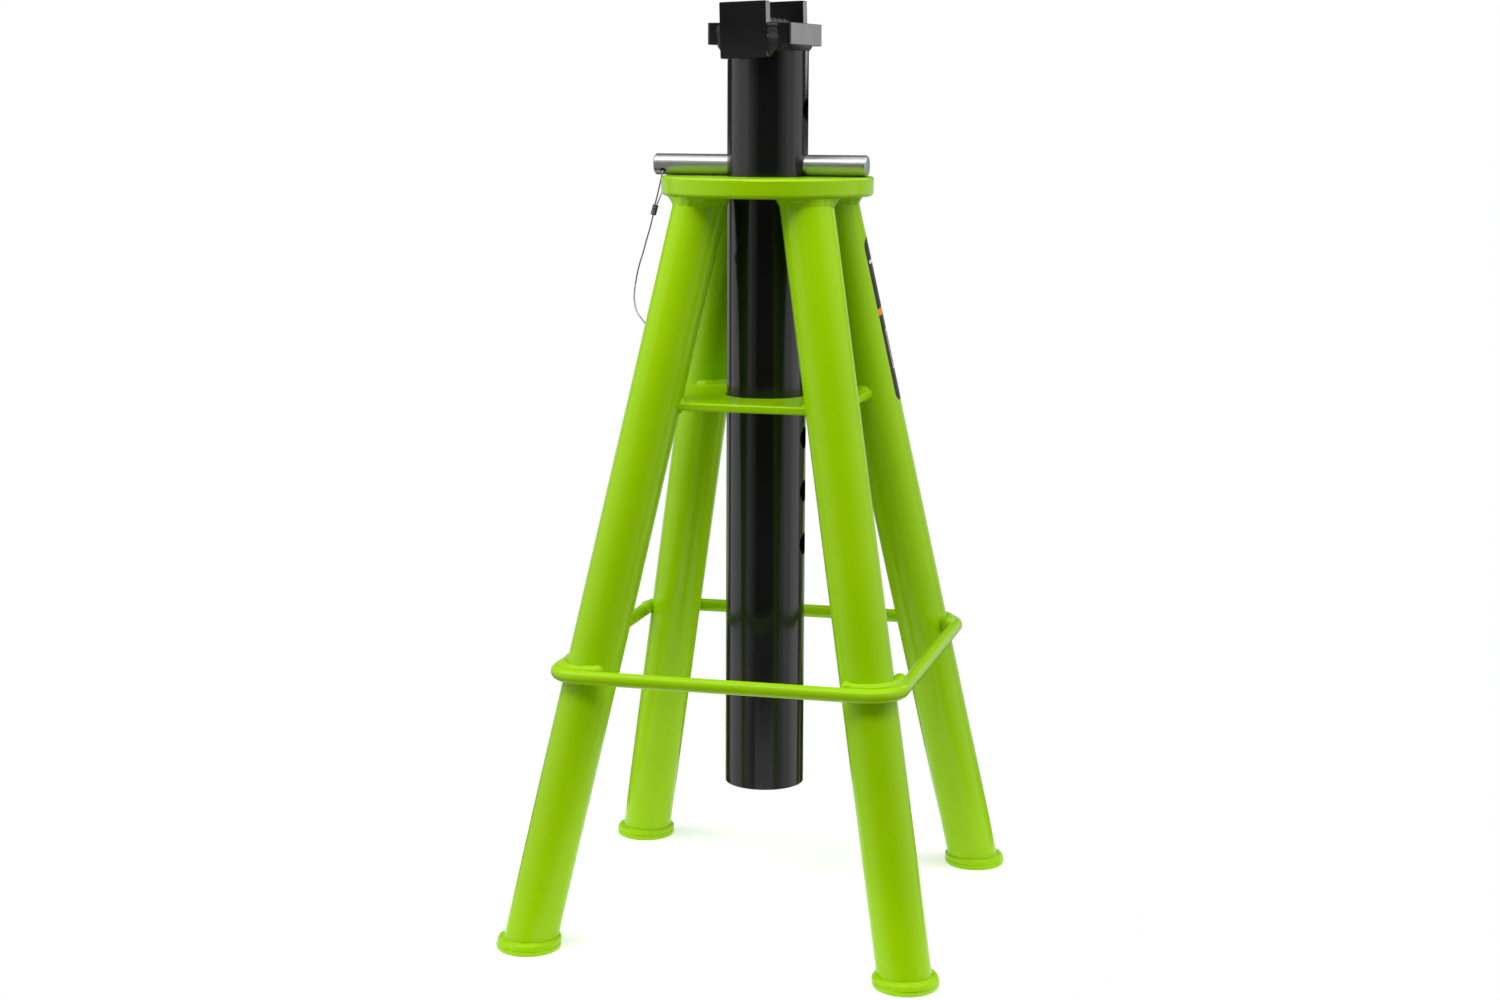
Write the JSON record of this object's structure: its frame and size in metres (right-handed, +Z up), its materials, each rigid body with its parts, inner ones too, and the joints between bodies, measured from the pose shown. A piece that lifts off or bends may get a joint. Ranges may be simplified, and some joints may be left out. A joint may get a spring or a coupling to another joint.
{
  "type": "axle jack stand",
  "caption": "Tall four-legged axle stand with a sliding round ram, a U-shaped saddle, a cross locking pin on a wire tether and a brace ring.",
  "frame": {"origin": "on the floor, under the ram's axis and in the middle of the four feet", "axes": "+Z up along the ram, +X to the right along the front edge of the legs' square, +Y to the back; the pin lies along X and the ram's head is turned 7.5 degrees clockwise from it"},
  "size_m": [0.421, 0.421, 0.8761],
  "materials": {
    "green_paint": "glossy powder coat",
    "black_paint": "glossy black paint",
    "bright_steel": "bright drawn and plated",
    "zinc_steel": "zinc plated",
    "wire_steel": "stranded wire rope",
    "ferrule_metal": "dull crimped sleeve",
    "label_film": "satin film"
  },
  "bodies": {
    "frame": {"top_plate": "green_paint", "leg_front_left": "green_paint", "leg_front_right": "green_paint", "leg_back_right": "green_paint", "leg_back_left": "green_paint", "foot_front_left": "green_paint", "foot_front_right": "green_paint", "foot_back_right": "green_paint", "foot_back_left": "green_paint", "guide_plate": "green_paint", "lower_ring": "green_paint", "leg_top_welds": "green_paint", "foot_welds": "green_paint", "guide_plate_welds": "green_paint", "ring_welds": "green_paint", "label": "label_film", "tether_screw": "zinc_steel", "tether_washer": "zinc_steel", "tether_anchor_ferrule": "ferrule_metal", "tether_anchor_loop": "wire_steel", "tether_wire_lower": "wire_steel"},
    "ram": {"ram_tube": "black_paint", "saddle_block": "black_paint", "front_ear": "black_paint", "rear_ear": "black_paint", "saddle_welds": "black_paint"},
    "pin": {"locking_pin": "bright_steel", "tether_pin_loop": "wire_steel", "tether_pin_ferrule": "ferrule_metal", "tether_wire_upper": "wire_steel"}
  },
  "joints": [
    {"name": "ram_lift", "type": "slide", "parent": "frame", "child": "ram", "axis": [0, 0, 1], "range_m": [0, 0.3598]},
    {"name": "pin_pull", "type": "slide", "parent": "ram", "child": "pin", "axis": [-1, 0, 0], "range_m": [0, 0.14]}
  ]
}
